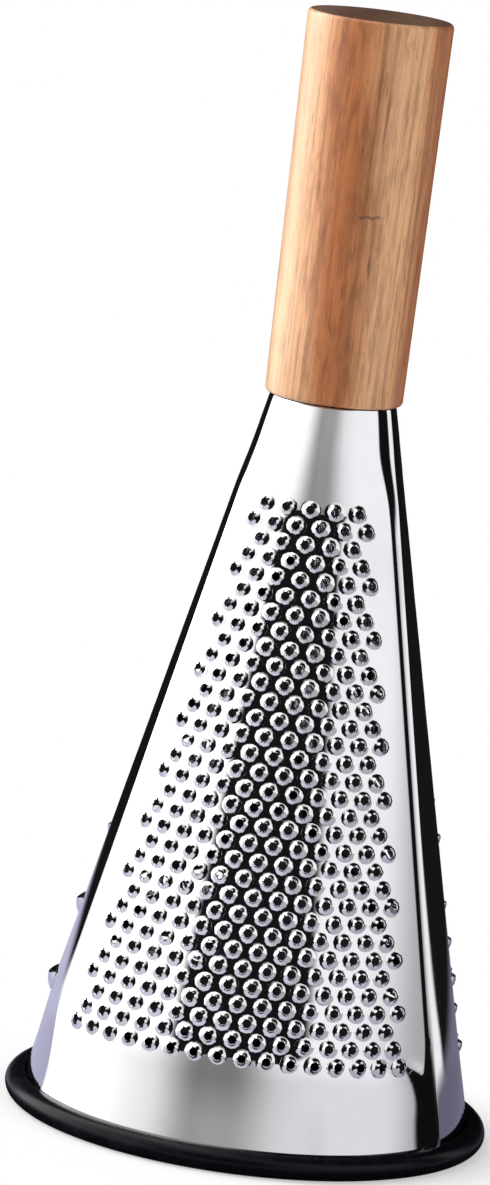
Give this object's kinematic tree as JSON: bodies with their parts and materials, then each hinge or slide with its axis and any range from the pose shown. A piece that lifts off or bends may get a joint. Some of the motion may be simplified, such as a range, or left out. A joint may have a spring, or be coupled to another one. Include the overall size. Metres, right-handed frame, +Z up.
{
  "type": "cone grater",
  "caption": "Hollow cone grater of sheet steel with three punched faces, a turned wooden handle on top and a rubber ring round the open foot.",
  "frame": {"origin": "middle of the foot ring's flat underside", "axes": "+Z up along the cone's axis to the handle, -Y out of the fine face"},
  "size_m": [0.105, 0.105, 0.2411],
  "materials": {
    "steel": "polished",
    "rubber": "satin",
    "wood": "oiled",
    "plated": "bright"
  },
  "bodies": {
    "root": {"fine_face": "steel", "medium_face": "steel", "coarse_face": "steel", "foot_ring": "rubber", "handle": "wood", "neck_cap": "plated", "screw_washer": "plated", "handle_screw": "plated"}
  },
  "joints": []
}
